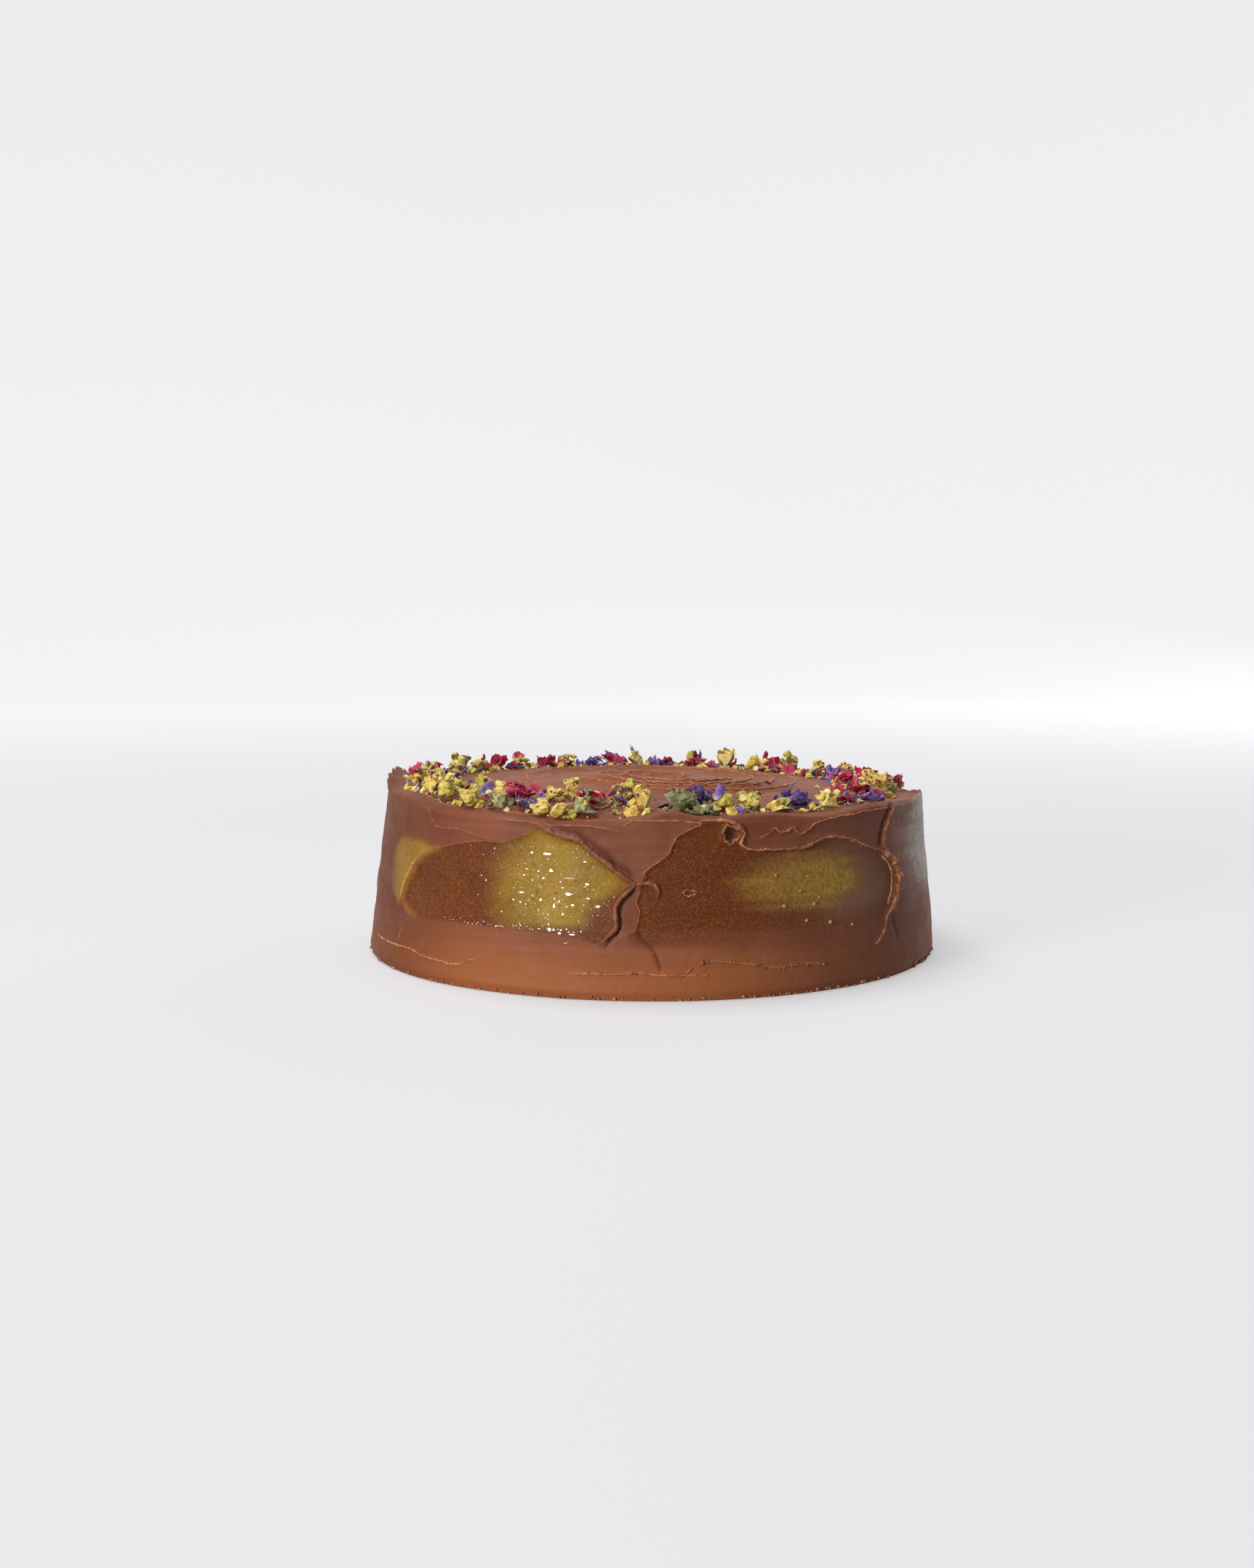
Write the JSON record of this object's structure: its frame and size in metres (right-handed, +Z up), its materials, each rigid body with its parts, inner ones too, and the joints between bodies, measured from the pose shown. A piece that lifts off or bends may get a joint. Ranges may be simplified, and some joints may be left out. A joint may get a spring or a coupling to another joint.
{
  "type": "chocolate frosted cake",
  "caption": "Round uncut cake, wider at its foot, covered in knife-smeared chocolate frosting with green smears and a wreath of nuts and dried flowers near its rim.",
  "frame": {"origin": "middle of the flat base, on the surface that the cake stands on", "axes": "+Z up, the front towards -Y, +X to the right of someone facing the front"},
  "size_m": [0.2127, 0.2127, 0.0687],
  "materials": {
    "frosting": "satin milk chocolate frosting with glossy green smears",
    "pistachio": "dry broken nut, yellow and green with brown skin",
    "rose_petal": "dried petal, crimson with a cream base",
    "cornflower": "dried petal, violet blue",
    "bud": "dry, downy, pale green",
    "leaf": "dry, crumpled, grey green"
  },
  "bodies": {
    "root": {"bud_01": "bud", "bud_02": "bud", "bud_03": "bud", "cake": "frosting", "cornflower_01": "cornflower", "cornflower_02": "cornflower", "cornflower_03": "cornflower", "cornflower_04": "cornflower", "cornflower_05": "cornflower", "cornflower_06": "cornflower", "cornflower_07": "cornflower", "cornflower_08": "cornflower", "leaf_01": "leaf", "pistachio_01": "pistachio", "pistachio_02": "pistachio", "pistachio_03": "pistachio", "pistachio_04": "pistachio", "pistachio_05": "pistachio", "pistachio_06": "pistachio", "pistachio_07": "pistachio", "pistachio_08": "pistachio", "pistachio_09": "pistachio", "pistachio_10": "pistachio", "pistachio_11": "pistachio", "pistachio_12": "pistachio", "pistachio_13": "pistachio", "pistachio_14": "pistachio", "pistachio_15": "pistachio", "pistachio_16": "pistachio", "pistachio_17": "pistachio", "pistachio_18": "pistachio", "pistachio_19": "pistachio", "pistachio_20": "pistachio", "pistachio_21": "pistachio", "pistachio_22": "pistachio", "pistachio_23": "pistachio", "pistachio_24": "pistachio", "pistachio_25": "pistachio", "pistachio_26": "pistachio", "pistachio_27": "pistachio", "pistachio_28": "pistachio", "pistachio_29": "pistachio", "pistachio_30": "pistachio", "pistachio_31": "pistachio", "pistachio_32": "pistachio", "rose_petal_01": "rose_petal", "rose_petal_02": "rose_petal", "rose_petal_03": "rose_petal", "rose_petal_04": "rose_petal", "rose_petal_05": "rose_petal", "rose_petal_06": "rose_petal", "rose_petal_07": "rose_petal", "rose_petal_08": "rose_petal", "rose_petal_09": "rose_petal", "rose_petal_10": "rose_petal", "rose_petal_11": "rose_petal", "rose_petal_12": "rose_petal", "rose_petal_13": "rose_petal", "rose_petal_14": "rose_petal", "rose_petal_15": "rose_petal"}
  },
  "joints": []
}
